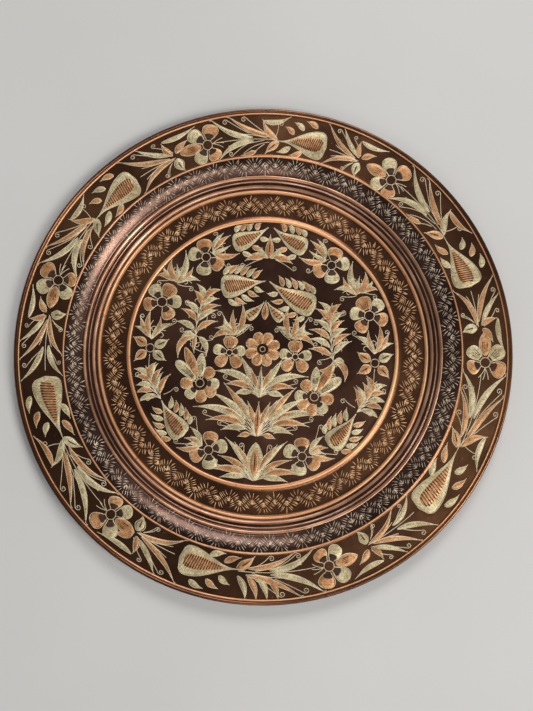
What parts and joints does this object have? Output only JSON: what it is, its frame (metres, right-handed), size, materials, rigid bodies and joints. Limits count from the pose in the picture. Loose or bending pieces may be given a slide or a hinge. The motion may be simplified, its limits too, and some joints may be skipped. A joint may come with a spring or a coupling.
{
  "type": "decorative tray",
  "caption": "Round shallow copper tray with a flat rim, turned beads and an engraved bouquet, with a hanging ring behind the rim; it lies flat or hangs on a wall.",
  "frame": {"origin": "under the middle of the floor, on the plane the tray rests on", "axes": "+Z out of the dish's open face; +Y to the top of the bouquet, where the hanging ring is; +X to the right seen from the front"},
  "size_m": [0.36, 0.36, 0.0119],
  "materials": {
    "copper_sheet": "dark patina over spun copper, with rubbed bright lines",
    "copper_wire": "drawn copper wire",
    "solder": "dull soft solder"
  },
  "bodies": {
    "tray": {"dish": "copper_sheet", "edge_wire": "copper_wire", "hanger_strap": "copper_sheet", "strap_solder": "solder"},
    "ring": {"hanging_ring": "copper_wire"}
  },
  "joints": [
    {"name": "ring_swing", "type": "hinge", "parent": "tray", "child": "ring", "pos_m": [0, 0.153, 0.00729], "axis": [1, 0, 0], "range_deg": [-146, 26]}
  ]
}
